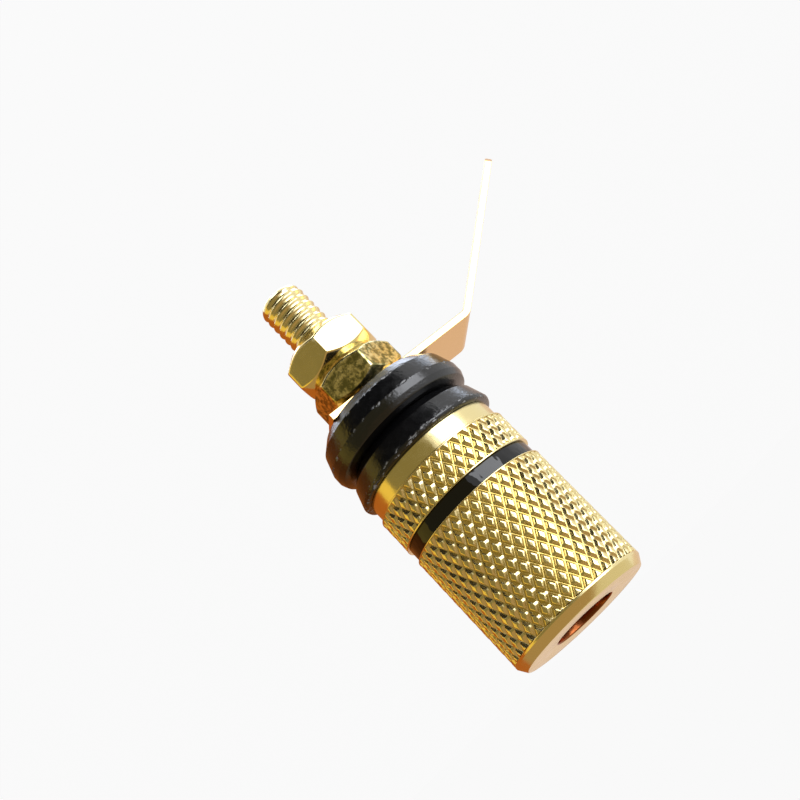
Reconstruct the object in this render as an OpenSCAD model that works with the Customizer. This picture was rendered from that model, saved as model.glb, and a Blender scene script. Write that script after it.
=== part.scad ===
// Binding post: a turned brass post with a 4 mm socket, a knurled screw cap with a colour band,
// two insulating washers that grip a panel, a bent solder lug and two M4 nuts.
// Origin: on the axis, at the panel seat between the two insulators. +Z runs out to the cap.
// The lug's tail leaves towards -X.

/* [Screw cap] */
// Diameter over the tips of the knurl
cap_d = 12.5; // [11.5:0.1:14]
// Diameter of the round opening in the front face
mouth_d = 5.5; // [4.8:0.1:6]
// Height of the bevel round the front face
nose_h = 0.95; // [0.5:0.05:1.2]
// How far that bevel runs in
nose_in = 0.45; // [0.2:0.05:0.6]
// Thickness of the wall round the front opening
front_wall = 1.8; // [1.2:0.1:2.5]
// Height of the plain land at the cap's rear end
rear_land = 0.18; // [0.1:0.02:0.4]

/* [Knurl] */
// Diamonds round the cap
knurl_count = 38; // [30:1:44]
// Height of one row of diamonds
knurl_row_h = 0.8; // [0.7:0.05:0.9]
// Rows in front of the colour band
front_rows = 13; // [10:1:15]
// Rows behind the colour band
rear_rows = 3; // [2:1:5]
// Depth of the grooves
knurl_depth = 0.34; // [0.2:0.02:0.44]

/* [Colour band] */
// Width of the band
band_w = 1.17; // [0.9:0.01:1.6]
// Depth of the band's groove, below the knurl's roots
band_groove = 0.5; // [0.3:0.05:0.7]
// How far the band sits under the tips of the knurl
band_sunk = 0.2; // [0.1:0.05:0.4]
// Plain land behind the band
rear_lip = 0.4; // [0.2:0.05:0.6]
// Plain land in front of the band
front_lip = 0.1; // [0.05:0.05:0.4]

/* [Post] */
// Major diameter of the rear stud, M4
stud_d = 3.9; // [3.8:0.05:4]
// Length of the stud behind the panel seat
stud_reach = 16.0; // [15.2:0.1:20]
// Chamfer at the stud's tip
stud_chamfer = 0.45; // [0.2:0.05:0.6]
// Diameter of the collar that the cap closes on
collar_d = 12.0; // [11:0.1:13]
// Thickness of that collar
collar_t = 1.5; // [1:0.1:2.5]
// Major diameter of the barrel's thread, M7 x 0.75
barrel_d = 6.9; // [6.6:0.1:7.2]
// Diameter of the plug socket
socket_d = 4.0; // [3.9:0.05:4.1]
// Depth of the plug socket
socket_depth = 13.5; // [11:0.5:14]
// Diameter of the cross hole for a bare wire
wire_hole_d = 2.2; // [1.5:0.1:2.6]

/* [Insulators] */
// Diameter of the rims
ins_d = 13.0; // [12.6:0.1:14]
// Diameter at the rear face
ins_back_d = 10.4; // [10:0.1:11.2]
// Diameter where the steep bevel meets the shallow one
ins_waist_d = 12.1; // [11.4:0.1:12.4]
// Height of the steep bevel
steep_h = 0.83; // [0.5:0.05:1]
// Height of the shallow bevel
shallow_h = 1.42; // [1:0.02:1.5]
// Thickness of the front insulator
front_ins_t = 2.6; // [2.6:0.1:3.2]
// Thickness of the rear insulator
rear_ins_t = 3.6; // [3.4:0.1:4.4]
// Rounding of the front insulator's front edge
front_ins_round = 0.25; // [0.1:0.05:0.3]
// Rounding of the rear insulator's front edge
rear_ins_round = 0.7; // [0.3:0.05:1]
// Diameter of the spigot that fills the panel's hole
spigot_d = 7.8; // [7:0.1:8.4]
// Length of that spigot
spigot_l = 2.2; // [1.5:0.1:2.3]

/* [Solder lug] */
// Thickness of the strip
lug_t = 0.6; // [0.4:0.05:0.8]
// Width of the strip
lug_w = 6.2; // [5.4:0.1:7]
// From the stud's axis to the plate's short end
lug_short = 4.5; // [3.6:0.1:5.5]
// From the stud's axis to the bend
lug_plate = 9.75; // [8:0.05:12]
// Length of the tail beyond the bend
lug_tail = 15.8; // [10:0.1:18]
// Angle of the tail out of the plate's plane
lug_bend = 40; // [20:1:60]
// Inner radius of the bend
bend_r = 0.6; // [0.3:0.1:1.5]
// Corners cut off at the tip
lug_corner = 1.0; // [0.4:0.1:1.5]
// Diameter of the wire hole near the tip
lug_eye_d = 2.2; // [1.5:0.1:2.6]
// From the tip to the middle of the wire hole
lug_eye_in = 2.6; // [2:0.1:4]

/* [Nuts] */
// Width across the flats, M4
nut_af = 7.0; // [6.8:0.05:7.2]
// Thickness of a nut
nut_t = 3.2; // [2.4:0.1:3.3]
// Diameter of the flat ring left on each face by the 30 degree chamfer
nut_face_d = 6.2; // [5.8:0.1:6.8]
// How the inner nut is turned
inner_nut_turn = 22; // [0:1:60]
// How the outer nut is turned
outer_nut_turn = 50; // [0:1:60]

/* [Fits] */
// Radial clearance between a screw thread and its nut
thread_clear = 0.05; // [0.02:0.01:0.1]
// Radial clearance of the spigot in its counterbore
spigot_clear = 0.1; // [0.05:0.01:0.1]
// Radial clearance of the stud in the insulators
stud_clear = 0.1; // [0.05:0.01:0.1]
// Radial clearance of the stud in the lug
lug_clear = 0.2; // [0.1:0.05:0.3]
// Clearance of the band all round in its groove
band_clear = 0.02; // [0.01:0.01:0.05]

/* [Hidden] */
round_fn = 96;
eps = 0.01;
// overlap that joins the knurled stretches to the plain ones
lap = 0.02;
// how far a cutter runs past what it cuts
past = 1;

// heights along the axis, from the cap back to the stud
collar_z = front_ins_t;
cap_z = collar_z + collar_t;
rear_knurl_z = cap_z + rear_land;
rear_knurl_h = rear_rows * knurl_row_h;
groove_z = rear_knurl_z + rear_knurl_h + rear_lip;
groove_h = band_w + 2 * band_clear;
front_knurl_z = groove_z + groove_h + front_lip;
front_knurl_h = front_rows * knurl_row_h;
nose_z = front_knurl_z + front_knurl_h;
face_z = nose_z + nose_h;
lug_z = -rear_ins_t - lug_t;
inner_nut_z = lug_z - nut_t;
outer_nut_z = inner_nut_z - nut_t;

// radii
tip_r = cap_d / 2;
root_r = tip_r - knurl_depth;
land_r = tip_r + lap;
groove_r = root_r - band_groove;
band_r = tip_r - band_sunk;
mouth_r = mouth_d / 2;
barrel_r = barrel_d / 2;
cap_bore_r = barrel_r + thread_clear;
stud_r = stud_d / 2;
nut_bore_r = stud_r + thread_clear;

// the barrel stops short of the wall round the cap's opening
shoulder_z = face_z - front_wall;
barrel_end_gap = 0.3;
barrel_z = shoulder_z - barrel_end_gap;
edge_chamfer = 0.3;
wire_hole_z = cap_z + wire_hole_d / 2 + 0.3;

// the counterbore holds the spigot with room in front of its floor
counterbore_depth = spigot_l + 0.3;

// the lug's plate and tail, up to where the bend starts and ends
bend_setback = (bend_r + lug_t) * tan(lug_bend / 2);
flat_end = lug_plate - bend_setback;
straight_tail = lug_tail - bend_setback;
bend_steps = 8;

gold = "goldenrod";
black = "#1c1c1e";

// A ring cut by its radius and height limits, for revolved profiles.
module box2d(r0, r1, z0, z1) {
    translate([r0, z0]) square([r1 - r0, z1 - z0]);
}

// Raised diamonds between two flat ends. Each row of the mesh holds tips and groove crossings in turn,
// and neighbouring rows are shifted by one, so that the grooves run along two crossing helices.
function knurl_point(row, k) =
    let (r = (row + k) % 2 == 0 ? tip_r : root_r, a = 180 * k / knurl_count)
    [r * cos(a), r * sin(a), row * knurl_row_h];

// The two triangles of one cell, split along its groove.
function knurl_cell(row, k) =
    let (
        m = 2 * knurl_count,
        a = row * m + k,
        b = row * m + (k + 1) % m,
        c = a + m,
        d = b + m
    )
    (row + k) % 2 == 0 ? [[a, c, b], [b, c, d]] : [[a, d, b], [a, c, d]];

module diamond_knurl(rows) {
    m = 2 * knurl_count;
    points = [for (row = [0:rows]) for (k = [0:m - 1]) knurl_point(row, k)];
    sides = [for (row = [0:rows - 1]) for (k = [0:m - 1]) each knurl_cell(row, k)];
    bottom = [for (k = [0:m - 1]) k];
    top = [for (k = [0:m - 1]) rows * m + m - 1 - k];
    polyhedron(points = points, faces = concat(sides, [bottom, top]));
}

// Half sections of the plain stretches between the knurled ones: rear land, groove with its lips, and nose.
// Each reaches a little way over the knurl beside it.
module cap_plain_profile() {
    box2d(0, land_r, cap_z, rear_knurl_z + lap);
    box2d(0, land_r, rear_knurl_z + rear_knurl_h - lap, groove_z);
    box2d(0, groove_r, groove_z, groove_z + groove_h);
    box2d(0, land_r, groove_z + groove_h, front_knurl_z + lap);
    polygon([[0, nose_z - lap], [land_r, nose_z - lap], [land_r, nose_z], [tip_r - nose_in, face_z], [0, face_z]]);
}

// Bore of the cap: a threaded cavity from the rear and a smaller front opening.
module cap_bore_profile() {
    box2d(-past, cap_bore_r, cap_z - eps, shoulder_z);
    polygon([
        [-past, cap_z - eps],
        [cap_bore_r + edge_chamfer + eps, cap_z - eps],
        [cap_bore_r, cap_z + edge_chamfer],
        [-past, cap_z + edge_chamfer]
    ]);
    box2d(-past, mouth_r, shoulder_z - eps, face_z + eps);
    polygon([
        [-past, face_z - edge_chamfer],
        [mouth_r, face_z - edge_chamfer],
        [mouth_r + edge_chamfer + eps, face_z + eps],
        [-past, face_z + eps]
    ]);
}

module cap() {
    color(gold)
    difference() {
        union() {
            rotate_extrude($fn = round_fn) cap_plain_profile();
            translate([0, 0, rear_knurl_z]) diamond_knurl(rear_rows);
            translate([0, 0, front_knurl_z]) diamond_knurl(front_rows);
        }
        rotate_extrude($fn = round_fn) intersection() {
            cap_bore_profile();
            box2d(0, tip_r, cap_z - past, face_z + past);
        }
    }
}

module band() {
    color(black)
    translate([0, 0, groove_z + band_clear])
    rotate_extrude($fn = round_fn) box2d(groove_r + band_clear, band_r, 0, band_w);
}

// Half section of the turned post, solid.
module post_profile() {
    polygon([
        [0, -stud_reach],
        [stud_r - stud_chamfer, -stud_reach],
        [stud_r, -stud_reach + stud_chamfer],
        [stud_r, collar_z],
        [collar_d / 2, collar_z],
        [collar_d / 2, cap_z],
        [barrel_r, cap_z],
        [barrel_r, barrel_z - edge_chamfer],
        [barrel_r - edge_chamfer, barrel_z],
        [0, barrel_z]
    ]);
}

module post() {
    color(gold)
    difference() {
        rotate_extrude($fn = round_fn) post_profile();
        translate([0, 0, barrel_z - socket_depth]) cylinder(h = socket_depth + eps, d = socket_d, $fn = round_fn);
        translate([0, 0, barrel_z - edge_chamfer])
            cylinder(h = edge_chamfer + eps, r1 = socket_d / 2, r2 = socket_d / 2 + edge_chamfer, $fn = round_fn);
        translate([0, 0, wire_hole_z]) rotate([0, 90, 0])
            cylinder(h = 2 * barrel_d, d = wire_hole_d, center = true, $fn = round_fn);
    }
}

// Half section of an insulator's rim: a steep and a shallow bevel behind, a rounded edge in front.
module insulator_profile(thick, front_round) {
    rim_r = ins_d / 2;
    polygon([
        [0, 0],
        [ins_back_d / 2, 0],
        [ins_waist_d / 2, steep_h],
        [rim_r, steep_h + shallow_h],
        [rim_r, thick - front_round],
        [rim_r - front_round, thick - front_round],
        [rim_r - front_round, thick],
        [0, thick]
    ]);
    translate([rim_r - front_round, thick - front_round]) circle(r = front_round, $fn = round_fn);
}

module front_insulator() {
    color(black)
    difference() {
        union() {
            rotate_extrude($fn = round_fn) insulator_profile(front_ins_t, front_ins_round);
            translate([0, 0, -spigot_l]) cylinder(h = spigot_l + eps, d = spigot_d, $fn = round_fn);
        }
        translate([0, 0, -spigot_l - past])
            cylinder(h = front_ins_t + spigot_l + 2 * past, r = stud_r + stud_clear, $fn = round_fn);
    }
}

module rear_insulator() {
    color(black)
    difference() {
        translate([0, 0, -rear_ins_t]) rotate_extrude($fn = round_fn) insulator_profile(rear_ins_t, rear_ins_round);
        translate([0, 0, -counterbore_depth])
            cylinder(h = counterbore_depth + past, r = spigot_d / 2 + spigot_clear, $fn = round_fn);
        translate([0, 0, -rear_ins_t - past])
            cylinder(h = rear_ins_t + 2 * past, r = stud_r + stud_clear, $fn = round_fn);
    }
}

// The strip's bend, seen from the side: points along an arc of radius r round the bend's centre.
function bend_arc(r) = [
    for (i = [0:bend_steps])
        let (a = lug_bend * i / bend_steps)
        [-flat_end - r * sin(a), -bend_r + r * cos(a)]
];

// Side view of the strip: plate, bend and tail as one outline.
module lug_side_profile() {
    tail_end = straight_tail * [cos(lug_bend), sin(lug_bend)];
    inner = bend_arc(bend_r);
    outer = bend_arc(bend_r + lug_t);
    polygon(concat(
        [[lug_short, lug_t], [lug_short, 0]],
        inner,
        [inner[bend_steps] - tail_end, outer[bend_steps] - tail_end],
        [for (i = [bend_steps:-1:0]) outer[i]]
    ));
}

// Moves what it holds to the tip's middle, with -X along the tail and Z through its thickness.
module at_lug_tip() {
    translate([-flat_end, 0, -bend_r]) rotate([0, -lug_bend, 0]) translate([-straight_tail, 0, bend_r]) children();
}

module solder_lug() {
    color(gold)
    translate([0, 0, lug_z])
    difference() {
        rotate([90, 0, 0]) linear_extrude(lug_w, center = true) lug_side_profile();
        translate([0, 0, -past]) cylinder(h = lug_t + 2 * past, r = stud_r + lug_clear, $fn = round_fn);
        at_lug_tip() {
            translate([lug_eye_in, 0, -past]) cylinder(h = lug_t + 2 * past, d = lug_eye_d, $fn = round_fn);
            for (side = [-1, 1])
                translate([0, side * lug_w / 2, -past])
                linear_extrude(lug_t + 2 * past) polygon([
                    [-past, side * past],
                    [-past, -side * (lug_corner + past)],
                    [lug_corner + past, side * past]
                ]);
        }
    }
}

// Hexagon nut with both ends chamfered at 30 degrees and a plain bore at the thread's diameter.
module hex_nut(turn) {
    corner_r = nut_af / 2 / cos(30);
    cone_r = corner_r + past;
    drop = (cone_r - nut_face_d / 2) * tan(30);
    difference() {
        intersection() {
            rotate([0, 0, turn]) cylinder(h = nut_t, r = corner_r, $fn = 6);
            rotate_extrude($fn = round_fn) polygon([
                [0, 0],
                [nut_face_d / 2, 0],
                [cone_r, drop],
                [cone_r, nut_t - drop],
                [nut_face_d / 2, nut_t],
                [0, nut_t]
            ]);
        }
        translate([0, 0, -past]) cylinder(h = nut_t + 2 * past, r = nut_bore_r, $fn = round_fn);
    }
}

module inner_nut() {
    color(gold) translate([0, 0, inner_nut_z]) hex_nut(inner_nut_turn);
}

module outer_nut() {
    color(gold) translate([0, 0, outer_nut_z]) hex_nut(outer_nut_turn);
}

post();
cap();
band();
front_insulator();
rear_insulator();
solder_lug();
inner_nut();
outer_nut();
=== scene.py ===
"""The threads, knurl, plating and moulded plastic of a panel binding post, and its studio."""

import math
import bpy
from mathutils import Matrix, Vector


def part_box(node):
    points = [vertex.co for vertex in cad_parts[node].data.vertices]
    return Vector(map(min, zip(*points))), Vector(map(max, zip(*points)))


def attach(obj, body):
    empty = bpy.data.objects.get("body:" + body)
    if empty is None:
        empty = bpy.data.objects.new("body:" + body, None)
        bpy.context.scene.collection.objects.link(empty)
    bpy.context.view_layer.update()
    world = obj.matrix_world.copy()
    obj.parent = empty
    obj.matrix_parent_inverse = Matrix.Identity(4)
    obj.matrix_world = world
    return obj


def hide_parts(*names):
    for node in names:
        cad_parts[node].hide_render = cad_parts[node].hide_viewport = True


bl_info = {
    "name": "Binding Post",
    "version": (1, 0, 0),
    "blender": (4, 5, 0),
    "location": "3D View > Sidebar > Binding Post",
    "description": "Builds the visible pieces, finishes and studio of a panel binding post",
    "category": "Object",
}

import bpy
from bpy.props import FloatProperty, FloatVectorProperty, IntProperty, PointerProperty
from mathutils import Vector, noise

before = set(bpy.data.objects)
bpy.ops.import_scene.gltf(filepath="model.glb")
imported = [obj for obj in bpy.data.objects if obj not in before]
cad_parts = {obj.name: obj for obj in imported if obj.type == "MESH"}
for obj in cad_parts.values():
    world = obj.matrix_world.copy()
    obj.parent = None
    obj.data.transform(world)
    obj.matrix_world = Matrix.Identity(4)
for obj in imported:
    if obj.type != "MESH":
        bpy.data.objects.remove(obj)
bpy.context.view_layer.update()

MM = 0.001
TURN = 2 * math.pi


def extent(node):
    """Half width along X, lowest and highest z of a CAD node, in millimetres."""
    low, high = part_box(node)
    return high.x / MM, low.z / MM, high.z / MM


COLLAR_R, STUD_TIP_Z, BARREL_Z = extent("post")
CAP_R, CAP_Z, FACE_Z = extent("cap")
BAND_R, BAND_Z, BAND_TOP_Z = extent("band")
RIM_R, SPIGOT_Z, COLLAR_Z = extent("front_insulator")
_, REAR_Z, _ = extent("rear_insulator")

# play that keeps a skin inside its solid or off its neighbour, depth of the CAD knurl, and depth of the
# band's groove below it, in millimetres
PLAY = 0.02
KNURL_ROOT = 0.34
GROOVE_DEPTH = 0.5
GROOVE_R = CAP_R - PLAY - KNURL_ROOT - GROOVE_DEPTH


# ---------------------------------------------------------------- colours


def linear(hex_colour):
    """Linear RGBA of an sRGB hex colour such as '#F2C46B'."""
    channels = [int(hex_colour[i : i + 2], 16) / 255 for i in (1, 3, 5)]
    return tuple(c / 12.92 if c <= 0.04045 else ((c + 0.055) / 1.055) ** 2.4 for c in channels) + (1.0,)


def colour_property(name, description, hex_colour):
    """A colour that is written as sRGB hex and kept as linear RGBA."""
    return FloatVectorProperty(
        name=name,
        description=description,
        subtype="COLOR",
        size=4,
        min=0.0,
        max=1.0,
        default=linear(hex_colour),
    )


def length_property(name, description, millimetres):
    """A length that is written in millimetres and kept in metres."""
    return FloatProperty(
        name=name,
        description=description,
        subtype="DISTANCE",
        unit="LENGTH",
        min=0.0,
        default=millimetres * MM,
    )


# ---------------------------------------------------------------- settings


class PostSettings(bpy.types.PropertyGroup):
    stud_radius: length_property("Stud Radius", "Major radius of the M4 stud", 1.95)
    stud_pitch: length_property("Stud Pitch", "Pitch of the M4 thread", 0.7)
    barrel_radius: length_property("Barrel Radius", "Major radius of the barrel's thread", 3.45)
    barrel_pitch: length_property("Barrel Pitch", "Pitch of the barrel's thread", 0.75)
    socket_radius: length_property("Socket Radius", "Radius of the plug socket", 2.0)
    socket_depth: length_property("Socket Depth", "Depth of the plug socket", 13.5)
    wire_hole_radius: length_property("Wire Hole Radius", "Radius of the cross hole", 1.1)


class CapSettings(bpy.types.PropertyGroup):
    knurl_count: IntProperty(name="Diamonds", description="Diamonds round the cap", default=38, min=12)
    knurl_row: length_property("Diamond Row", "Height of one row of diamonds", 0.8)
    knurl_depth: length_property("Knurl Depth", "Depth of the knurl's grooves", 0.24)
    groove_share: FloatProperty(
        name="Groove Share",
        description="Share of the way to a diamond's middle that its sloping sides take",
        subtype="FACTOR",
        default=0.6,
        min=0.2,
        max=1.0,
    )
    mouth_radius: length_property("Mouth Radius", "Radius of the opening in the front face", 2.75)
    bore_radius: length_property("Bore Radius", "Radius of the threaded cavity", 3.5)


class InsulatorSettings(bpy.types.PropertyGroup):
    nick_depth: length_property("Nick Depth", "Deepest nick in a rim", 0.08)
    nick_spacing: length_property("Nick Spacing", "Typical distance between nicks", 0.45)


class LugSettings(bpy.types.PropertyGroup):
    thickness: length_property("Thickness", "Thickness of the strip", 0.6)
    plate: length_property("Plate", "From the stud's axis to the bend's outer corner", 9.75)
    tail: length_property("Tail", "From the bend's outer corner to the tip", 15.8)
    bend: FloatProperty(
        name="Bend",
        description="Angle between plate and tail",
        subtype="ANGLE",
        default=math.radians(40),
        min=0.0,
    )
    bend_radius: length_property("Bend Radius", "Inside radius of the bend", 0.6)
    corner: length_property("Corner", "Cut off each corner of the tip", 1.0)
    stud_hole: length_property("Stud Hole", "Radius of the hole for the stud", 2.15)
    eye_radius: length_property("Eye Radius", "Radius of the hole for the wire", 1.1)
    eye_inset: length_property("Eye Inset", "From the tip to the middle of the wire's hole", 2.6)


class NutSettings(bpy.types.PropertyGroup):
    across_flats: length_property("Across Flats", "Width of a nut across its flats", 7.0)
    face_radius: length_property("Face Radius", "Radius of the flat left on a face by its chamfer", 3.1)
    bore_radius: length_property("Bore Radius", "Radius of the bore", 2.0)


class FinishSettings(bpy.types.PropertyGroup):
    gold: colour_property("Gold", "Reflected colour of the gold flash", "#F4E2A6")
    # painted shade: the darker red-brown that the wall of the cap's mouth is given, for the shade in its
    # hollow
    gold_mouth_shade: colour_property("Mouth Shade Gold", "Colour of the thin plating in the cap's mouth", "#97552E")
    gold_tarnished: colour_property("Tarnished Gold", "Colour of the first nut's blotches", "#8A8452")
    gold_strip: colour_property("Strip Gold", "Reflected colour of the lug's plating", "#F1CD8E")
    black: colour_property("Black", "Body colour of the insulators", "#08080A")
    scuff: colour_property("Scuff", "Colour of the scuffed edges of the insulators", "#A3A2A0")
    enamel: colour_property("Enamel", "Body colour of the colour band", "#040405")


class StageSettings(bpy.types.PropertyGroup):
    camera_place: FloatVectorProperty(
        name="Camera Place",
        description="Where the camera stands",
        subtype="XYZ",
        unit="LENGTH",
        default=(0.0318652, -0.0970661, 0.0299076),
    )
    camera_turn: FloatVectorProperty(
        name="Camera Turn",
        description="How the camera is turned",
        subtype="EULER",
        unit="ROTATION",
        default=tuple(math.radians(a) for a in (113.8229, -138.3574, 2.6374)),
    )
    lens: FloatProperty(
        name="Lens",
        description="Focal length of the camera",
        subtype="DISTANCE_CAMERA",
        default=61.1,
        min=1.0,
    )
    floor_drop: length_property("Floor Drop", "How far the floor lies under the stud's tip", 240.0)
    paper: colour_property("Paper", "Colour of the floor and the surroundings", "#F9F9F9")


class BindingPostSettings(bpy.types.PropertyGroup):
    post: PointerProperty(type=PostSettings)
    cap: PointerProperty(type=CapSettings)
    insulators: PointerProperty(type=InsulatorSettings)
    lug: PointerProperty(type=LugSettings)
    nuts: PointerProperty(type=NutSettings)
    finish: PointerProperty(type=FinishSettings)
    stage: PointerProperty(type=StageSettings)


def settings():
    """The binding post's own settings in the open scene."""
    return bpy.context.scene.binding_post


# ---------------------------------------------------------------- meshes, in millimetres


def round_corners(profile, radius, steps=4):
    """The same profile of (r, z) points, with each inner corner replaced by an arc of up to that radius."""
    out = [profile[0]]
    for before, corner, after in zip(profile, profile[1:], profile[2:]):
        corner = Vector(corner)
        back, on = Vector(before) - corner, Vector(after) - corner
        angle = back.angle(on)
        if angle > math.radians(170) or min(back.length, on.length) < 1e-4:
            out.append(tuple(corner))
            continue
        reach = min(radius / math.tan(angle / 2), 0.45 * back.length, 0.45 * on.length)
        start, end = corner + back.normalized() * reach, corner + on.normalized() * reach
        for i in range(steps + 1):
            t = i / steps
            point = start.lerp(corner, t).lerp(corner.lerp(end, t), t)
            out.append(tuple(point))
    out.append(profile[-1])
    return out


def ring(radius, z, count):
    """A ring of points about the post's axis. radius is a number or a function of the angle."""
    points = []
    for k in range(count):
        angle = TURN * k / count
        r = radius(angle) if callable(radius) else radius
        points.append((r * math.cos(angle), r * math.sin(angle), z))
    return points


def skin(rings, joined, slanted=None):
    """Points and faces of a skin over rings of equal size. joined closes the last ring on the first, and
    without it both ends are closed by fans. slanted gives, for a ring and a place on it, which diagonal
    splits the face there: True, False, or None to leave it whole."""
    count = len(rings[0])
    points = [p for r in rings for p in r]
    faces = []
    for i in range(len(rings) if joined else len(rings) - 1):
        j = (i + 1) % len(rings)
        for k in range(count):
            n = (k + 1) % count
            a, b, c, d = i * count + k, i * count + n, j * count + n, j * count + k
            split = slanted(i, k) if slanted else None
            if split is None:
                faces.append((a, b, c, d))
            elif split:
                faces += [(a, b, c), (a, c, d)]
            else:
                faces += [(a, b, d), (b, c, d)]
    if not joined:
        ends = ((0, rings[0], True), ((len(rings) - 1) * count, rings[-1], False))
        for first, end, flip in ends:
            middle = len(points)
            points.append(tuple(sum(axis) / count for axis in zip(*end)))
            for k in range(count):
                edge = (first + k, first + (k + 1) % count)
                faces.append((edge[1], edge[0], middle) if flip else (*edge, middle))
    return points, faces


def add_piece(name, points, faces, crease=32):
    """A mesh object from points in millimetres, smooth except at edges sharper than crease degrees."""
    mesh = bpy.data.meshes.new(name)
    mesh.from_pydata([(x * MM, y * MM, z * MM) for x, y, z in points], [], faces)
    mesh.validate()
    mesh.shade_smooth()
    mesh.set_sharp_from_angle(angle=math.radians(crease))
    piece = bpy.data.objects.new(name, mesh)
    bpy.context.scene.collection.objects.link(piece)
    return piece


def bore(piece, radius, start, end, crease=32, count=48):
    """Cuts a round hole of that radius through a piece, from start to end, in millimetres."""
    start, end = Vector(start), Vector(end)
    across = (end - start).orthogonal().normalized() * radius
    up = (end - start).normalized().cross(across)
    angles = [TURN * k / count for k in range(count)]
    circle = [across * math.cos(angle) + up * math.sin(angle) for angle in angles]
    rims = [[tuple(centre + spoke) for spoke in circle] for centre in (start, end)]
    points, faces = skin(rings=rims, joined=False)
    drill = add_piece("drill", points, faces)
    cut = piece.modifiers.new("bore", "BOOLEAN")
    cut.operation, cut.solver, cut.object = "DIFFERENCE", "EXACT", drill
    cut_mesh = bpy.data.meshes.new_from_object(piece.evaluated_get(bpy.context.evaluated_depsgraph_get()))
    if len(cut_mesh.polygons) == len(piece.data.polygons):
        raise RuntimeError(f"the bore did not cut {piece.name}")
    piece.modifiers.clear()
    piece.data = cut_mesh
    cut_mesh.set_sharp_from_angle(angle=math.radians(crease))
    bpy.data.objects.remove(drill)


def dress(piece, material, body, node):
    """Gives a piece its material and slot, the body that it rides and the CAD node that it stands for."""
    piece.data.materials.append(material)
    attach(piece, body)
    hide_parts(node)


def ramp(value, low, high):
    """0 up to low, 1 from high on, and even between them."""
    return min(1.0, max(0.0, (value - low) / (high - low)))


# depth of a thread as a share of its pitch, and the power that widens its grooves when it is below 1
THREAD_SHARE = 0.22
THREAD_POWER = 0.8


def thread_radius(major, pitch, z, angle):
    """Radius of a right-hand thread whose form is rounded and half filled by the plating."""
    phase = (z / pitch - angle / TURN) % 1.0
    return major - THREAD_SHARE * pitch * (0.5 - 0.5 * math.cos(TURN * phase)) ** THREAD_POWER


def threaded_rings(major, pitch, low, high, count, limit, steps=10):
    """Rings along a threaded stretch. limit gives the largest radius at a height, as chamfers need."""
    total = max(2, round((high - low) / pitch * steps))
    rings = []
    for i in range(total + 1):
        z = low + (high - low) * i / total
        rings.append(ring(lambda angle: min(thread_radius(major, pitch, z, angle), limit(z)), z, count))
    return rings


# ---------------------------------------------------------------- materials


def add_node(tree, kind, inputs=None, **values):
    """Adds a node with its settings. inputs maps each socket to a value or to the output that feeds it."""
    node = tree.nodes.new(kind)
    for key, value in values.items():
        setattr(node, key, value)
    for key, value in (inputs or {}).items():
        if isinstance(value, bpy.types.NodeSocket):
            tree.links.new(value, node.inputs[key])
        else:
            node.inputs[key].default_value = value
    return node


def new_material(name, **sockets):
    """A material whose shader has these plain values. Returns it with its tree and its shader."""
    material = bpy.data.materials.new(name)
    material.use_nodes = True
    tree = material.node_tree
    shader = tree.nodes["Principled BSDF"]
    for key, value in sockets.items():
        shader.inputs[key.replace("_", " ")].default_value = value
    return material, tree, shader


def bare_tree(owner):
    """The emptied node tree of a material or a world."""
    owner.use_nodes = True
    owner.node_tree.nodes.clear()
    return owner.node_tree


def millimetre_space(tree, stretch=(1.0, 1.0, 1.0)):
    """Object coordinates in millimetres, stretched along each axis."""
    place = add_node(tree, "ShaderNodeTexCoord")
    scale = tuple(s / MM for s in stretch)
    space = add_node(tree, "ShaderNodeMapping", {"Vector": place.outputs["Object"], "Scale": scale})
    return space.outputs["Vector"]


# sockets of a colour mix node: its factor, its two colours and its result
FACTOR, FIRST, SECOND, MIXED = 0, 6, 7, 2

# sizes in millimetres: cloudy patches in a plating, blotches of tarnish, flow marks and skin of a moulding,
# and slow waves in enamel
PATCH = 1.11
BLOTCH = 0.556
FLOW = 0.625
SKIN = 0.25
WAVE = 0.833


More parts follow.
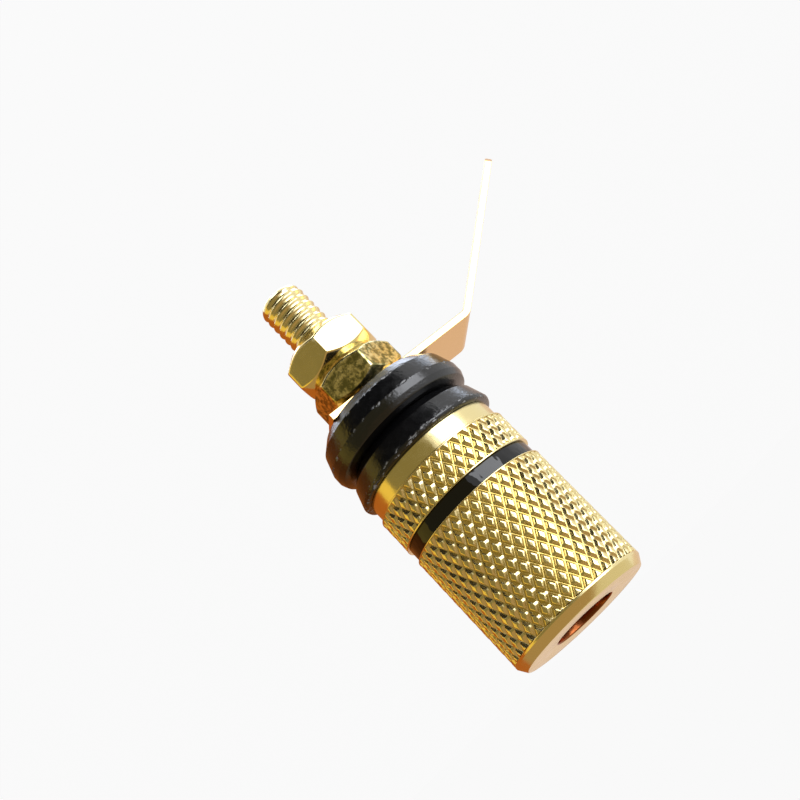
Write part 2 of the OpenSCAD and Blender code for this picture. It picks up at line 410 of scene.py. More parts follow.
def gold_plate(name, colour, roughness, grain, lines=None, shaded=None, tarnish=None):
    """Gold flash over brass: a bright yellow mirror, slightly cloudy in patches, that keeps the tool's
    marks. grain is the (size, depth) of the ripple that plating leaves, and lines the (spacing, depth) of
    turned rings. shaded is the (colour, inner radius, outer radius) of painted shade in a hollow: the base
    colour turns to that colour inside the inner radius. tarnish is the colour of the blotches that handling
    leaves. Lengths are in millimetres."""
    material, tree, shader = new_material(name, Metallic=1.0, Base_Color=colour)
    space = millimetre_space(tree)
    patches = add_node(tree, "ShaderNodeTexNoise", {"Vector": space, "Scale": 1 / PATCH, "Detail": 3.0})
    rough = add_node(
        tree,
        "ShaderNodeMapRange",
        {
            "Value": patches.outputs["Fac"],
            "From Min": 0.3,
            "From Max": 0.7,
            "To Min": roughness * 0.75,
            "To Max": roughness * 1.3,
        },
    )
    tree.links.new(rough.outputs["Result"], shader.inputs["Roughness"])
    # painted shade: inside the inner radius the base colour turns darker, for the shade in a hollow
    if shaded:
        deep, inner, outer = shaded
        across = add_node(tree, "ShaderNodeVectorMath", {0: space, 1: (1.0, 1.0, 0.0)}, operation="MULTIPLY")
        radius = add_node(tree, "ShaderNodeVectorMath", {0: across.outputs["Vector"]}, operation="LENGTH")
        reach = add_node(
            tree,
            "ShaderNodeMapRange",
            {"Value": radius.outputs["Value"], "From Min": inner, "From Max": outer},
        )
        tint = add_node(
            tree,
            "ShaderNodeMix",
            {FACTOR: reach.outputs["Result"], FIRST: deep, SECOND: colour},
            data_type="RGBA",
        )
        tree.links.new(tint.outputs[MIXED], shader.inputs["Base Color"])
    if tarnish:
        blotches = add_node(
            tree,
            "ShaderNodeTexNoise",
            {"Vector": space, "Scale": 1 / BLOTCH, "Detail": 5.0, "Roughness": 0.7},
        )
        cover = add_node(
            tree,
            "ShaderNodeMapRange",
            {"Value": blotches.outputs["Fac"], "From Min": 0.44, "From Max": 0.58},
        )
        tint = add_node(
            tree,
            "ShaderNodeMix",
            {FACTOR: cover.outputs["Result"], FIRST: tarnish, SECOND: colour},
            data_type="RGBA",
        )
        tree.links.new(tint.outputs[MIXED], shader.inputs["Base Color"])
    size, depth = grain
    ripple = add_node(tree, "ShaderNodeTexNoise", {"Vector": space, "Scale": 1.0 / size, "Detail": 2.0})
    bump = add_node(
        tree,
        "ShaderNodeBump",
        {"Height": ripple.outputs["Fac"], "Distance": depth * MM, "Strength": 1.0},
    )
    if lines:
        spacing, line_depth = lines
        # squeezed across the axis, so that the noise runs round the piece as rings
        rings_space = millimetre_space(tree, (0.05, 0.05, 1.0))
        rings = add_node(
            tree, "ShaderNodeTexNoise", {"Vector": rings_space, "Scale": 1.0 / spacing, "Detail": 1.0}
        )
        bump = add_node(
            tree,
            "ShaderNodeBump",
            {
                "Height": rings.outputs["Fac"],
                "Distance": line_depth * MM,
                "Strength": 1.0,
                "Normal": bump.outputs["Normal"],
            },
        )
    tree.links.new(bump.outputs["Normal"], shader.inputs["Normal"])
    return material


def moulded_black_phenolic(finish):
    """Compression-moulded black phenolic: a satin skin with faint flow marks, rubbed pale and rough on its
    edges, as the scuff attribute says."""
    material, tree, shader = new_material("moulded_black_phenolic", IOR=1.5, Specular_IOR_Level=0.7)
    space = millimetre_space(tree)
    scuff = add_node(tree, "ShaderNodeAttribute", attribute_name="scuff")
    tint = add_node(
        tree,
        "ShaderNodeMix",
        {FACTOR: scuff.outputs["Fac"], FIRST: finish.black, SECOND: finish.scuff},
        data_type="RGBA",
    )
    tree.links.new(tint.outputs[MIXED], shader.inputs["Base Color"])
    flow = add_node(tree, "ShaderNodeTexNoise", {"Vector": space, "Scale": 1 / FLOW, "Detail": 4.0})
    rough = add_node(
        tree,
        "ShaderNodeMapRange",
        {"Value": flow.outputs["Fac"], "From Min": 0.3, "From Max": 0.7, "To Min": 0.14, "To Max": 0.26},
    )
    rubbed = add_node(
        tree,
        "ShaderNodeMath",
        {0: scuff.outputs["Fac"], 1: 0.4, 2: rough.outputs["Result"]},
        operation="MULTIPLY_ADD",
    )
    tree.links.new(rubbed.outputs["Value"], shader.inputs["Roughness"])
    skin_noise = add_node(tree, "ShaderNodeTexNoise", {"Vector": space, "Scale": 1 / SKIN, "Detail": 3.0})
    bump = add_node(tree, "ShaderNodeBump", {"Height": skin_noise.outputs["Fac"], "Distance": 0.02 * MM})
    tree.links.new(bump.outputs["Normal"], shader.inputs["Normal"])
    return material


def stoved_black_enamel(finish):
    """Stoved black enamel in the band's groove: a deep gloss whose slow waves bend the reflections."""
    material, tree, shader = new_material("stoved_black_enamel", Base_Color=finish.enamel, IOR=1.5)
    space = millimetre_space(tree)
    flow = add_node(tree, "ShaderNodeTexNoise", {"Vector": space, "Scale": 1 / WAVE, "Detail": 1.0})
    rough = add_node(
        tree, "ShaderNodeMapRange", {"Value": flow.outputs["Fac"], "To Min": 0.03, "To Max": 0.1}
    )
    tree.links.new(rough.outputs["Result"], shader.inputs["Roughness"])
    bump = add_node(tree, "ShaderNodeBump", {"Height": flow.outputs["Fac"], "Distance": 0.06 * MM})
    tree.links.new(bump.outputs["Normal"], shader.inputs["Normal"])
    return material


# ---------------------------------------------------------------- pieces


class BPOST_OT_post(bpy.types.Operator):
    """Turns the post: M4 stud, collar, threaded barrel, socket and cross hole"""

    bl_idname = "bpost.make_post"
    bl_label = "Post"

    COUNT = 96
    # the stud's tip: the rings that close it and the start of its dome, as shares of the stud's radius, and
    # the dome's height in millimetres
    TIP_RINGS = (0.15, 0.4, 0.58)
    TIP_SHARE = 0.62
    TIP_RISE = 0.85
    # millimetres: relief cut beside the collar, its neck, and the gap between it and a thread
    RELIEF = 0.5
    NECK_R = 1.5
    GAP = 0.1
    # millimetres: depth at which the barrel's thread starts, its chamfer, its end face, the socket's chamfer
    RUN_OUT = 0.45
    END_CHAMFER = 0.35
    MOUTH_IN = 0.4
    SOCKET_CHAMFER = 0.3
    # gap in millimetres between the collar and the cross hole's edge
    HOLE_GAP = 0.3
    # millimetres: innermost ring of the socket's floor, and half the length of the cross hole's drill
    FLOOR_R = 0.2
    DRILL_REACH = 8.0

    def execute(self, context):
        sizes = settings().post
        stud_r, stud_pitch = sizes.stud_radius / MM, sizes.stud_pitch / MM
        barrel_r, barrel_pitch = sizes.barrel_radius / MM, sizes.barrel_pitch / MM
        socket_r, floor_z = sizes.socket_radius / MM, BARREL_Z - sizes.socket_depth / MM
        rings = [ring(share * stud_r, STUD_TIP_Z, self.COUNT) for share in self.TIP_RINGS]
        rings += threaded_rings(
            stud_r,
            stud_pitch,
            STUD_TIP_Z,
            COLLAR_Z - self.RELIEF,
            self.COUNT,
            lambda z: self.dome(stud_r, z - STUD_TIP_Z),
        )
        shoulder = round_corners(
            [
                (self.NECK_R, COLLAR_Z - self.RELIEF + self.GAP),
                (self.NECK_R, COLLAR_Z),
                (COLLAR_R, COLLAR_Z),
                (COLLAR_R, CAP_Z),
                (barrel_r - self.RELIEF, CAP_Z),
                (barrel_r - self.RELIEF, CAP_Z + self.RELIEF),
            ],
            0.1,
        )
        rings += [ring(r, z, self.COUNT) for r, z in shoulder]
        rings += threaded_rings(
            barrel_r,
            barrel_pitch,
            CAP_Z + self.RELIEF + self.GAP,
            BARREL_Z,
            self.COUNT,
            lambda z: self.barrel(barrel_r, z),
        )
        mouth = round_corners(
            [
                (barrel_r - self.MOUTH_IN, BARREL_Z),
                (socket_r + self.SOCKET_CHAMFER, BARREL_Z),
                (socket_r, BARREL_Z - self.SOCKET_CHAMFER),
                (socket_r, floor_z),
                (self.FLOOR_R, floor_z),
            ],
            0.05,
        )
        rings += [ring(r, z, self.COUNT) for r, z in mouth]
        points, faces = skin(rings, joined=False)
        piece = add_piece("turned_post", points, faces)
        hole_r = sizes.wire_hole_radius / MM
        hole_z = CAP_Z + hole_r + self.HOLE_GAP
        bore(piece, hole_r, (-self.DRILL_REACH, 0.0, hole_z), (self.DRILL_REACH, 0.0, hole_z))
        # turning leaves rings under the plating, which stretch each highlight. Real ones are too fine to
        # show, so these are coarser.
        material = gold_plate(
            "gold_flash_on_turned_brass", settings().finish.gold, 0.2, (0.5, 0.006), lines=(0.09, 0.004)
        )
        dress(piece, material, "post_body", "post")
        return {"FINISHED"}

    def dome(self, radius, height):
        """Largest radius at a height above the stud's tip, which is turned to a dome."""
        start = self.TIP_SHARE * radius
        share = 1.0 - min(height / self.TIP_RISE, 1.0)
        return start + (radius - start) * math.sqrt(1.0 - share * share)

    def barrel(self, radius, z):
        """Largest radius of the barrel at a height: it runs out at the collar and has a chamfered end."""
        rising = radius - self.RUN_OUT + max(z - CAP_Z - self.RELIEF - 2 * self.GAP, 0.0)
        return min(radius, rising, radius - self.END_CHAMFER + BARREL_Z - z)


class BPOST_OT_cap(bpy.types.Operator):
    """Turns and knurls the screw cap"""

    bl_idname = "bpost.make_cap"
    bl_label = "Screw Cap"

    # grid steps along each side of a diamond's cell, and rows of diamonds behind and in front of the band
    STEPS = 6
    REAR_ROWS = 3 + 1 / 3
    FRONT_ROWS = 13
    # millimetres: plain land behind the knurl, height of the nose and its lean inwards, wall round the
    # mouth, chamfer of the bore, and drop of the skin between a plain stretch and a knurled one
    REAR_LAND = 0.18
    NOSE = 0.95
    NOSE_IN = 0.45
    FRONT_WALL = 1.8
    BORE_CHAMFER = 0.3
    DROP = 0.2
    # width in millimetres of the edge where the painted shade in the mouth gives way to the full gold
    FADE = (0.04, 0.12)

    def knurled_rings(self, low, rows, sizes):
        """Rings of a knurled stretch. The grooves run along the cells' sides and slope up to flat tops."""
        steps, half = self.STEPS, 2 * sizes.knurl_count
        row_h, depth, share = sizes.knurl_row / MM, sizes.knurl_depth / MM, sizes.groove_share
        tip_r = CAP_R - PLAY
        rings = []
        for j in range(round(rows * steps) + 1):
            v = j / steps
            points = []
            for i in range(half * steps):
                u = i / steps
                a, b = u % 1.0, v % 1.0
                if (int(u) + int(v)) % 2:
                    a = 1.0 - a
                rise = ramp(abs(1.0 - a - b), 0.0, share)
                r = tip_r - depth * (1.0 - rise * rise * (3.0 - 2.0 * rise))
                angle = math.pi * u / sizes.knurl_count
                points.append((r * math.cos(angle), r * math.sin(angle), low + v * row_h))
            rings.append(points)
        return rings

    def execute(self, context):
        sizes = settings().cap
        steps = self.STEPS
        count = 2 * sizes.knurl_count * steps
        row_h = sizes.knurl_row / MM
        mouth_r, bore_r = sizes.mouth_radius / MM, sizes.bore_radius / MM
        rear_z = CAP_Z + self.REAR_LAND
        nose_z = FACE_Z - self.NOSE
        front_z = nose_z - self.FRONT_ROWS * row_h
        rings, knurled = [], {}

        def plain(profile, radius=0.03):
            rings.extend(ring(r, z, count) for r, z in round_corners(profile, radius, 3))

        def knurl(low, rows):
            first = len(rings)
            rings.extend(self.knurled_rings(low, rows, sizes))
            knurled.update({first + j: j // steps for j in range(round(rows * steps))})

        plain(
            [
                (bore_r + self.BORE_CHAMFER, CAP_Z),
                (CAP_R - 0.08, CAP_Z),
                (CAP_R, CAP_Z + 0.06),
                (CAP_R, rear_z - PLAY),
                (CAP_R - self.DROP, rear_z - PLAY / 2),
            ]
        )
        knurl(rear_z, self.REAR_ROWS)
        lip_z = rear_z + self.REAR_ROWS * row_h
        plain(
            [
                (CAP_R - self.DROP, lip_z + PLAY / 2),
                (CAP_R, lip_z + PLAY),
                (CAP_R, BAND_Z - PLAY),
                (GROOVE_R, BAND_Z - PLAY),
                (GROOVE_R, BAND_TOP_Z + PLAY),
                (CAP_R, BAND_TOP_Z + PLAY),
                (CAP_R, front_z - PLAY),
                (CAP_R - self.DROP, front_z - PLAY / 2),
            ]
        )
        knurl(front_z, self.FRONT_ROWS)
        plain(
            [
                (CAP_R - 0.25, nose_z + PLAY / 2),
                (CAP_R, nose_z + 0.03),
                (CAP_R - PLAY, nose_z + 0.25),
                (CAP_R - PLAY - self.NOSE_IN, FACE_Z),
                (mouth_r, FACE_Z),
                (mouth_r, FACE_Z - self.FRONT_WALL),
                (bore_r, FACE_Z - self.FRONT_WALL),
                (bore_r, CAP_Z + self.BORE_CHAMFER),
                (bore_r + self.BORE_CHAMFER - PLAY, CAP_Z + PLAY / 2),
            ],
            0.12,
        )

        def slanted(i, k):
            if i not in knurled:
                return None
            return (knurled[i] + k // steps) % 2 == 1

        points, faces = skin(rings, joined=True, slanted=slanted)
        piece = add_piece("knurled_cap", points, faces, crease=55)
        finish = settings().finish
        # rolling leaves bright, slightly rippled facets that glitter one by one
        material = gold_plate(
            "gold_flash_on_rolled_knurl",
            finish.gold,
            0.2,
            (0.35, 0.008),
            # painted shade: the wall of the mouth gets the darker red-brown
            shaded=(finish.gold_mouth_shade, *(mouth_r + step for step in self.FADE)),
        )
        dress(piece, material, "cap_body", "cap")
        return {"FINISHED"}


class BPOST_OT_band(bpy.types.Operator):
    """Lays the glossy colour band in the cap's groove"""

    bl_idname = "bpost.make_band"
    bl_label = "Colour Band"

    def execute(self, context):
        inner = GROOVE_R + PLAY
        middle = (inner + BAND_R) / 2
        # starts on the rear face and stops just short of that point, so that every corner is rounded
        profile = round_corners(
            [
                (middle, BAND_Z),
                (BAND_R, BAND_Z),
                (BAND_R, BAND_TOP_Z),
                (inner, BAND_TOP_Z),
                (inner, BAND_Z),
                (middle - 0.05, BAND_Z),
            ],
            0.05,
        )
        points, faces = skin([ring(r, z, 192) for r, z in profile], joined=True)
        piece = add_piece("enamelled_band", points, faces)
        dress(piece, stoved_black_enamel(settings().finish), "band_body", "band")
        return {"FINISHED"}


class BPOST_OT_insulators(bpy.types.Operator):
    """Moulds the two insulating washers, with the nicks on their rims"""

    bl_idname = "bpost.make_insulators"
    bl_label = "Insulators"

    COUNT = 400
    # millimetres: radii at the rear face and where the bevels meet, heights of the steep bevel and of both
    BACK_R = 5.2
    WAIST_R = 6.05
    STEEP_H = 0.83
    BEVEL_H = 2.25
    # millimetres: rounding of the front washer's and the rear washer's edge, and of every other corner
    FRONT_ROUND = 0.25
    REAR_ROUND = 0.7
    CORNER_ROUND = 0.12
    # millimetres: radii of the stud's hole, spigot and counterbore, the spigot's chamfer and its end play
    HOLE_R = 2.05
    SPIGOT_R = 3.9
    COUNTERBORE_R = 4.0
    SPIGOT_CHAMFER = 0.1
    SPIGOT_ROOM = 0.3
    # millimetres: how far from an edge its nicks reach, and the radius inside which there are none
    NICK_REACH = 0.2
    NICK_MIN_R = 5.9

    def rim(self, low, high, front_round):
        """Outer profile of a washer: a steep and a shallow bevel behind, a rounded edge in front."""
        return [
            (self.BACK_R, low),
            (self.WAIST_R, low + self.STEEP_H),
            (RIM_R, low + self.BEVEL_H),
            (RIM_R, high - front_round),
            (RIM_R - 0.3 * front_round, high - 0.3 * front_round),
            (RIM_R - front_round, high),
        ]

    def fine(self, profile, step=0.09):
        """The profile with points no further apart than step, so that nicks have something to bite into."""
        out = [profile[0]]
        for a, b in zip(profile, profile[1:]):
            total = max(1, math.ceil((Vector(b) - Vector(a)).length / step))
            out += [tuple(Vector(a).lerp(Vector(b), i / total)) for i in range(1, total + 1)]
        return out

    def build(self, name, outer, inner, edges, material, body, node, seed):
        """One washer. edges are the heights at which the rim gets nicked, and seed shifts the nicks."""
        sizes = settings().insulators
        depth, spacing = sizes.nick_depth / MM, sizes.nick_spacing / MM
        outer = self.fine(round_corners(outer, self.CORNER_ROUND, 3))
        rings, scuffs = [], []
        for i, (r, z) in enumerate(outer + inner):
            near = 0.0
            if i < len(outer) and r > self.NICK_MIN_R:
                near = max(1.0 - abs(z - edge) / self.NICK_REACH for edge in edges)
            points = []
            for k in range(self.COUNT):
                angle = TURN * k / self.COUNT
                x, y = math.cos(angle), math.sin(angle)
                bite = 0.0
                if near > 0.0:
                    place = Vector((x * r / spacing, y * r / spacing, z * 2.2 / spacing + seed))
                    fine = noise.noise(place * 3.1)
                    bite = ramp(noise.noise(place) + 0.6 * fine, 0.25, 0.6) * near
                points.append(((r - depth * bite) * x, (r - depth * bite) * y, z))
                scuffs.append(ramp(bite, 0.3, 0.8))
            rings.append(points)
        points, faces = skin(rings, joined=True)
        piece = add_piece(name, points, faces, crease=50)
        layer = piece.data.attributes.new("scuff", "FLOAT", "POINT")
        layer.data.foreach_set("value", scuffs)
        dress(piece, material, body, node)

    def execute(self, context):
        material = moulded_black_phenolic(settings().finish)
        front_inside = [
            (self.HOLE_R, COLLAR_Z),
            (self.HOLE_R, SPIGOT_Z),
            (self.SPIGOT_R - self.SPIGOT_CHAMFER, SPIGOT_Z),
            (self.SPIGOT_R, SPIGOT_Z + self.SPIGOT_CHAMFER),
            (self.SPIGOT_R, 0.0),
        ]
        self.build(
            "front_washer",
            self.rim(0.0, COLLAR_Z, self.FRONT_ROUND),
            front_inside,
            (self.BEVEL_H, COLLAR_Z - 0.1),
            material,
            "post_body",
            "front_insulator",
            3.0,
        )
        floor_z = SPIGOT_Z - self.SPIGOT_ROOM
        rear_inside = [
            (self.COUNTERBORE_R, 0.0),
            (self.COUNTERBORE_R, floor_z),
            (self.HOLE_R, floor_z),
            (self.HOLE_R, REAR_Z),
        ]
        self.build(
            "rear_washer",
            self.rim(REAR_Z, 0.0, self.REAR_ROUND),
            rear_inside,
            (REAR_Z + self.BEVEL_H, REAR_Z + self.STEEP_H),
            material,
            "rear_stack",
            "rear_insulator",
            11.0,
        )
        return {"FINISHED"}


class BPOST_OT_lug(bpy.types.Operator):
    """Shears, bends and pierces the solder lug"""

    bl_idname = "bpost.make_lug"
    bl_label = "Solder Lug"

    # rounding of the strip's edges in millimetres, steps along the bend, and edges sharper than this many
    # degrees, which stay crisp
    EDGE = 0.06
    BEND_STEPS = 8
    CREASE = 8

    def section(self, centre, lean, half_width, half_thickness):
        """Cross-section of the strip, its edges rounded, at a point (x, z) of the middle line. lean is the
        middle line's angle below level there."""
        edge, points = self.EDGE, []
        for quarter, (side, face) in enumerate(((1, 1), (1, -1), (-1, -1), (-1, 1))):
            for step in range(4):
                angle = math.radians(90 * quarter + 30 * step)
                up = face * (half_thickness - edge) + edge * math.cos(angle)
                across = side * (half_width - edge) + edge * math.sin(angle)
                points.append((centre.x - up * math.sin(lean), across, centre.y + up * math.cos(lean)))
        return points

    def execute(self, context):
        sizes = settings().lug
        _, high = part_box("solder_lug")
        thick, bend_r, bend = sizes.thickness / MM, sizes.bend_radius / MM, sizes.bend
        corner, edge = sizes.corner / MM, self.EDGE
        half_w, half_t = high.y / MM, thick / 2
        setback = (bend_r + thick) * math.tan(bend / 2)
        level = high.z / MM - half_t
        bend_start = Vector((setback - sizes.plate / MM, level))
        rings = [
            self.section(Vector((high.x / MM, level)), 0.0, half_w - edge, half_t - edge / 2),
            self.section(Vector((high.x / MM - edge, level)), 0.0, half_w, half_t),
        ]
        for i in range(self.BEND_STEPS + 1):
            lean = bend * i / self.BEND_STEPS
            drop = Vector((-math.sin(lean), math.cos(lean) - 1.0)) * (bend_r + half_t)
            rings.append(self.section(bend_start + drop, lean, half_w, half_t))
        tail_start, down = bend_start + drop, Vector((-math.cos(bend), -math.sin(bend)))
        length = sizes.tail / MM - setback
        # distance from the tip, half width and half thickness of the last sections
        tip = (
            (corner, half_w, half_t),
            (edge, half_w - corner, half_t),
            (0.0, half_w - corner - edge, half_t - edge / 2),
        )
        for gap, width, half in tip:
            rings.append(self.section(tail_start + down * (length - gap), bend, width, half))
        points, faces = skin(rings, joined=False)
        piece = add_piece("bent_strip", points, faces, self.CREASE)
        bore(piece, sizes.stud_hole / MM, (0.0, 0.0, level - thick), (0.0, 0.0, level + thick), self.CREASE)
        eye = tail_start + down * (length - sizes.eye_inset / MM)
        eye = Vector((eye.x, 0.0, eye.y))
        through = Vector((-math.sin(bend), 0.0, math.cos(bend))) * thick
        bore(piece, sizes.eye_radius / MM, eye - through, eye + through, self.CREASE)
        # rolled strip is smoother than turned brass, so the lug mirrors the room in large soft patches
        material = gold_plate(
            "gold_flash_on_stamped_strip", settings().finish.gold_strip, 0.14, (0.8, 0.006)
        )
        dress(piece, material, "rear_stack", "solder_lug")
        return {"FINISHED"}


class BPOST_OT_nuts(bpy.types.Operator):
    """Cuts the two hexagon nuts"""

    bl_idname = "bpost.make_nuts"
    bl_label = "Nuts"

    COUNT = 180
    # slope of the chamfers, and the power that joins flats and chamfer: higher is sharper
    CHAMFER = math.radians(40)
    SHARPNESS = 90
    # height in millimetres that the chamfer takes, its rings, and the power that crowds them to the face
    DROP = 0.85
    DROP_STEPS = 14
    CROWDING = 1.3
    # chamfer of the bore in millimetres
    BORE_CHAMFER = 0.25

    def outline(self, low, high, z, turn):
        """Radius of a nut at a height, as a function of the angle: a hexagon under a cone at either end."""
        sizes = settings().nuts
        apothem = sizes.across_flats / 2 / MM
        cone = sizes.face_radius / MM + min(z - low, high - z) / math.tan(self.CHAMFER)

        def radius(angle):
            total = cone**-self.SHARPNESS
            for k in range(6):
                facing = math.cos(angle - math.radians(turn + 30 + 60 * k))
                # a flat on the nut's far side doesn't bound it here
                if facing > 0.1:
                    total += (facing / apothem) ** self.SHARPNESS
            return total ** (-1 / self.SHARPNESS)

        return radius

    def build(self, name, node, body, turn, material):
        """One nut in the place of its node, turned by so many degrees."""
        bore_r, chamfer = settings().nuts.bore_radius / MM, self.BORE_CHAMFER
        _, low, high = extent(node)
        steps = self.DROP_STEPS
        heights = [low + self.DROP * (i / steps) ** self.CROWDING for i in range(steps + 1)]
        heights += [low + high - z for z in reversed(heights)]
        rings = [ring(self.outline(low, high, z, turn), z, self.COUNT) for z in heights]
        inner = [
            (bore_r + chamfer, high),
            (bore_r, high - chamfer),
            (bore_r, low + chamfer),
            (bore_r + chamfer, low),
        ]
        rings += [ring(r, z, self.COUNT) for r, z in inner]
        points, faces = skin(rings, joined=True)
        piece = add_piece(name, points, faces, crease=40)
        dress(piece, material, body, node)

    def execute(self, context):
        finish = settings().finish
        # milled flats are plain mirrors. Handling has left olive blotches on the first nut's.
        handled = gold_plate(
            "tarnished_gold_flash_on_milled_brass",
            finish.gold,
            0.2,
            (0.45, 0.02),
            tarnish=finish.gold_tarnished,
        )
        clean = gold_plate("gold_flash_on_milled_brass", finish.gold, 0.15, (0.6, 0.008))
        self.build("first_nut", "inner_nut", "inner_nut_body", 22, handled)
        self.build("lock_nut", "outer_nut", "outer_nut_body", 50, clean)
        return {"FINISHED"}


# ---------------------------------------------------------------- stage


def direction(azimuth, elevation):
    """Unit vector towards an azimuth and elevation in degrees."""
    a, e = math.radians(azimuth), math.radians(elevation)
    return Vector((math.cos(a) * math.cos(e), math.sin(a) * math.cos(e), math.sin(e)))


def rays_of(tree, kinds):
    """1 for rays of these kinds and 0 for all others."""
    rays = add_node(tree, "ShaderNodeLightPath")
    chosen = rays.outputs[kinds[0]]
    for kind in kinds[1:]:
        either = add_node(tree, "ShaderNodeMath", {0: chosen, 1: rays.outputs[kind]}, operation="MAXIMUM")
        chosen = either.outputs[0]
    return chosen


class BPOST_OT_stage(bpy.types.Operator):
    """Sets the pale floor, the soft lamps, the tone cards and the camera"""

    bl_idname = "bpost.make_stage"
    bl_label = "Studio"

    # azimuths, elevations and colour of each card that the metal mirrors
    CARDS = {
        "shade_card": ((272, 362), (-32, 28), "#867C55"),
        "dark_card": ((224, 362), (-76, -34), "#2E2C26"),
        "glow_card": ((362, 388), (-62, 28), "#F6D668"),
        "amber_card": ((28, 100), (-44, 28), "#B0642A"),
        "rose_card": ((100, 150), (-40, 28), "#E6CFC2"),
        "cream_ceiling": ((100, 235), (28, 90), "#DDD6C0"),
        "warm_ceiling": ((235, 460), (28, 90), "#AA9068"),
    }
    # distance in millimetres of the cards, and their faces across and up
    CARD_DISTANCE = 200.0
    CARD_FACES = (24, 8)
    # azimuth and elevation, width and height in metres, radiance and colour of each softbox
    LAMPS = {
        "key_softbox": ((238, -12), (0.23, 0.32), 4.0, "#F6F9FF"),
        "low_softbox": ((125, -68), (0.46, 0.38), 3.5, "#DCE9FF"),
    }
    # distance in metres of the softboxes
    LAMP_DISTANCE = 0.30
    # strength of the room as matt surfaces see it, and share of the floor's tone that takes no shadow
    ROOM_FILL = 0.35
    UNSHADED = 0.93
    # radii in millimetres of the floor's rings
    FLOOR_RINGS = (3000.0, 2000.0, 1000.0, 300.0, 50.0)

    def execute(self, context):
        scene = context.scene
        stage = settings().stage
        self.world(scene, stage)
        self.floor(stage)
        self.cards()
        self.lamps()
        camera = bpy.data.objects.new("camera", bpy.data.cameras.new("camera"))
        scene.collection.objects.link(camera)
        camera.location = stage.camera_place
        camera.rotation_euler = stage.camera_turn
        camera.data.lens = stage.lens
        camera.data.clip_start, camera.data.clip_end = 0.001, 10.0
        scene.camera = camera
        scene.view_settings.view_transform = "Standard"
        return {"FINISHED"}

    def world(self, scene, stage):
        """A white room, which is dimmer for matt surfaces than for the camera and for mirrors."""
        world = bpy.data.worlds.new("white_room")
        scene.world = world
        tree = bare_tree(world)
        seen = rays_of(tree, ("Is Camera Ray", "Is Glossy Ray", "Is Transmission Ray"))
        dim = add_node(tree, "ShaderNodeBackground", {"Color": stage.paper, "Strength": self.ROOM_FILL})
        bright = add_node(tree, "ShaderNodeBackground", {"Color": stage.paper, "Strength": 1.0})
        mix = add_node(tree, "ShaderNodeMixShader", {0: seen, 1: dim.outputs[0], 2: bright.outputs[0]})
        add_node(tree, "ShaderNodeOutputWorld", {"Surface": mix.outputs[0]})

    def floor(self, stage):
        """Seamless matt paper: an even white without an edge, with the post's soft shadow on it."""
        z = STUD_TIP_Z - stage.floor_drop / MM
        points, faces = skin([ring(r, z, 96) for r in self.FLOOR_RINGS], joined=False)
        # the floor lies open: the last two points only close the skin's ends
        last = len(points) - 2
        floor = add_piece("floor", points[:last], [face for face in faces if max(face) < last])
        material = bpy.data.materials.new("seamless_paper")
        tree = bare_tree(material)
        seen = rays_of(tree, ("Is Camera Ray", "Is Glossy Ray"))
        share = add_node(tree, "ShaderNodeMath", {0: seen, 1: self.UNSHADED}, operation="MULTIPLY")
        matt = add_node(tree, "ShaderNodeBsdfDiffuse", {"Color": stage.paper})
        glow = add_node(tree, "ShaderNodeEmission", {"Color": (1.0, 1.0, 1.0, 1.0), "Strength": 1.0})
        mix = add_node(
            tree, "ShaderNodeMixShader", {0: share.outputs[0], 1: matt.outputs[0], 2: glow.outputs[0]}
        )
        add_node(tree, "ShaderNodeOutputMaterial", {"Surface": mix.outputs[0]})
        floor.data.materials.append(material)

    def cards(self):
        """Curved cards round the post, which stand in for the unlit and the warm sides of the room."""
        across, up = self.CARD_FACES
        for name, (azimuths, elevations, colour) in self.CARDS.items():
            points, faces = [], []
            for j in range(up + 1):
                elevation = elevations[0] + (elevations[1] - elevations[0]) * j / up
                for i in range(across + 1):
                    azimuth = azimuths[0] + (azimuths[1] - azimuths[0]) * i / across
                    points.append(tuple(direction(azimuth, elevation) * self.CARD_DISTANCE))
            for j in range(up):
                for i in range(across):
                    a = j * (across + 1) + i
                    faces.append((a, a + 1, a + across + 2, a + across + 1))
            card = add_piece(name, points, faces)
            material = bpy.data.materials.new(name)
            tree = bare_tree(material)
            glow = add_node(tree, "ShaderNodeEmission", {"Color": linear(colour), "Strength": 1.0})
            add_node(tree, "ShaderNodeOutputMaterial", {"Surface": glow.outputs[0]})
            card.data.materials.append(material)
            card.visible_camera = card.visible_diffuse = card.visible_shadow = False

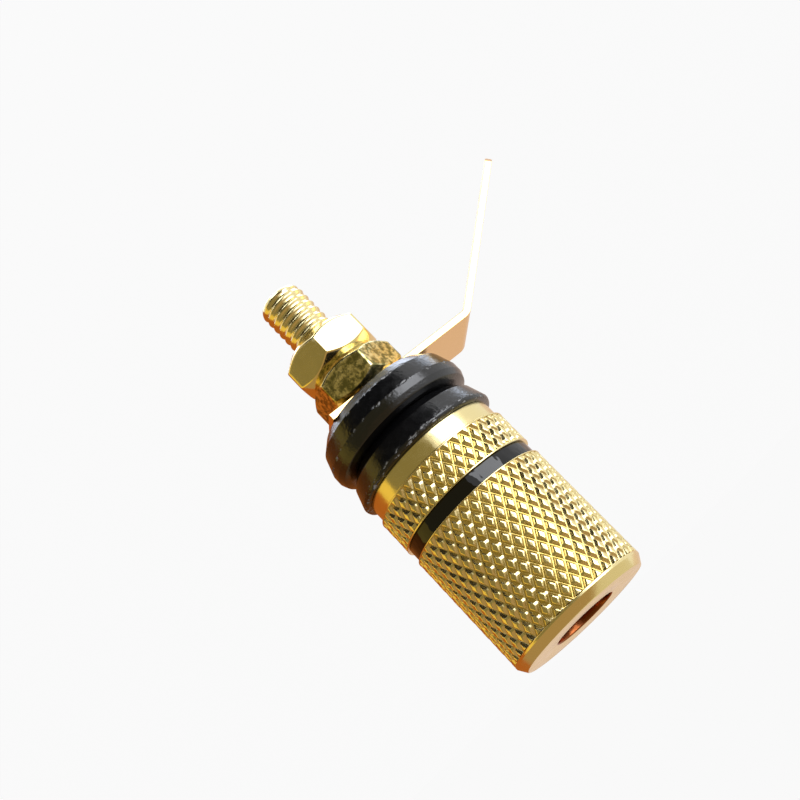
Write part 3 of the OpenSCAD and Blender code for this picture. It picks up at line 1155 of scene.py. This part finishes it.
    def lamps(self):
        """Softboxes that face the post. A radiance of 1 is as bright as white paper."""
        for name, (place, size, radiance, colour) in self.LAMPS.items():
            data = bpy.data.lights.new(name, "AREA")
            data.shape = "RECTANGLE"
            data.size, data.size_y = size
            data.energy = radiance * math.pi * size[0] * size[1]
            data.color = linear(colour)[:3]
            lamp = bpy.data.objects.new(name, data)
            bpy.context.scene.collection.objects.link(lamp)
            towards = direction(*place)
            lamp.location = towards * self.LAMP_DISTANCE
            lamp.rotation_euler = (-towards).to_track_quat("-Z", "Y").to_euler()
            lamp.visible_camera = False


# ---------------------------------------------------------------- add-on


class BPOST_PT_panel(bpy.types.Panel):
    """Lists the pieces of the binding post and the studio"""

    bl_idname = "BPOST_PT_panel"
    bl_label = "Binding Post"
    bl_space_type = "VIEW_3D"
    bl_region_type = "UI"
    bl_category = "Binding Post"

    def draw(self, context):
        groups = context.scene.binding_post
        for step, group in STEPS:
            box = self.layout.box()
            box.operator(step.bl_idname)
            if group:
                self.list_values(box, getattr(groups, group))
        self.list_values(self.layout.box(), groups.finish)

    def list_values(self, box, group):
        """Shows every property of a group."""
        for name in type(group).__annotations__:
            box.prop(group, name)


# each operator, in the order in which they run, with the name of its settings
STEPS = (
    (BPOST_OT_post, "post"),
    (BPOST_OT_cap, "cap"),
    (BPOST_OT_band, None),
    (BPOST_OT_insulators, "insulators"),
    (BPOST_OT_lug, "lug"),
    (BPOST_OT_nuts, "nuts"),
    (BPOST_OT_stage, "stage"),
)
CLASSES = (
    PostSettings,
    CapSettings,
    InsulatorSettings,
    LugSettings,
    NutSettings,
    FinishSettings,
    StageSettings,
    BindingPostSettings,
    *(step for step, _ in STEPS),
    BPOST_PT_panel,
)


def register():
    for cls in CLASSES:
        bpy.utils.register_class(cls)
    bpy.types.Scene.binding_post = PointerProperty(type=BindingPostSettings)


def unregister():
    del bpy.types.Scene.binding_post
    for cls in reversed(CLASSES):
        bpy.utils.unregister_class(cls)


def main():
    """Builds every piece and the studio."""
    register()
    for step, _ in STEPS:
        group, name = step.bl_idname.split(".")
        getattr(getattr(bpy.ops, group), name)()


if __name__ == "__main__":
    main()
